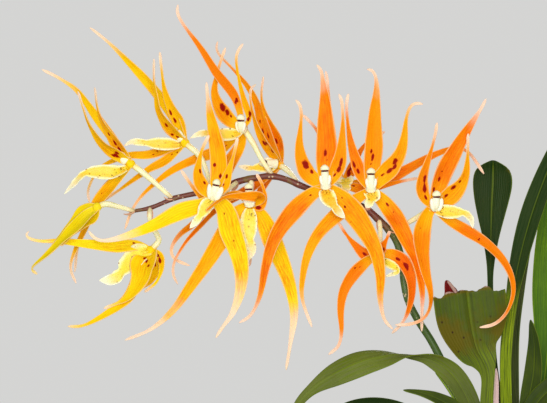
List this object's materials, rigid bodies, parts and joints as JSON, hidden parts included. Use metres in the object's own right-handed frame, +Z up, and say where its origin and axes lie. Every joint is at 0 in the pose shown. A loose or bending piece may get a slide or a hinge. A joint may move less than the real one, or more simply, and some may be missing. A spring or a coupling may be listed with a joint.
{
  "type": "brassia orchid",
  "caption": "Potted spider orchid: one arching spike of spidery orange and yellow flowers with long thread-tipped tepals above strap leaves, in a plain clay pot of bark.",
  "frame": {"origin": "middle of the flat underside of the pot", "axes": "+Z up; -Y is the side the flowers face; the spike arches out towards -X"},
  "size_m": [0.3022, 0.125, 0.4481],
  "materials": {
    "clay": "matt, porous",
    "bark": "matt, rough",
    "bulb": "satin, ribbed skin",
    "leaf": "satin",
    "pale_leaf": "satin",
    "dry_sheath": "matt, papery",
    "spike_stem": "satin",
    "stalk": "satin",
    "tepal_orange": "satin, waxy",
    "tepal_amber": "satin, waxy",
    "tepal_yellow": "satin, waxy",
    "tepal_lime": "satin, waxy",
    "lip": "satin, waxy"
  },
  "bodies": {
    "root": {"flower_01": "tepal_yellow", "flower_02": "tepal_yellow", "flower_03": "tepal_amber", "flower_04": "tepal_orange", "flower_05": "tepal_amber", "flower_06": "tepal_amber", "flower_07": "tepal_orange", "flower_08": "tepal_orange", "flower_09": "tepal_orange", "flower_10": "tepal_orange", "flower_11": "tepal_orange", "flower_12": "tepal_lime", "flower_13": "tepal_yellow", "lip_01": "lip", "lip_02": "lip", "lip_03": "lip", "lip_04": "lip", "lip_05": "lip", "lip_06": "lip", "lip_07": "lip", "lip_08": "lip", "lip_09": "lip", "lip_10": "lip", "lip_11": "lip", "lip_13": "lip", "pedicel_01": "stalk", "pedicel_02": "stalk", "pedicel_03": "stalk", "pedicel_04": "stalk", "pedicel_05": "stalk", "pedicel_06": "stalk", "pedicel_07": "stalk", "pedicel_08": "stalk", "pedicel_09": "stalk", "pedicel_10": "stalk", "pedicel_11": "stalk", "pedicel_12": "stalk", "pedicel_13": "stalk", "flower_spike": "spike_stem", "pseudobulb_1": "bulb", "pseudobulb_2": "bulb", "pseudobulb_3": "bulb", "pseudobulb_4": "bulb", "leaf_01": "leaf", "leaf_02": "leaf", "leaf_03": "leaf", "leaf_04": "leaf", "leaf_05": "pale_leaf", "leaf_06": "leaf", "leaf_07": "leaf", "leaf_08": "leaf", "leaf_09": "leaf", "leaf_10": "pale_leaf", "leaf_11": "leaf", "dry_sheath": "dry_sheath", "torn_flap": "dry_sheath", "pot": "clay", "potting_bark": "bark"}
  },
  "joints": []
}
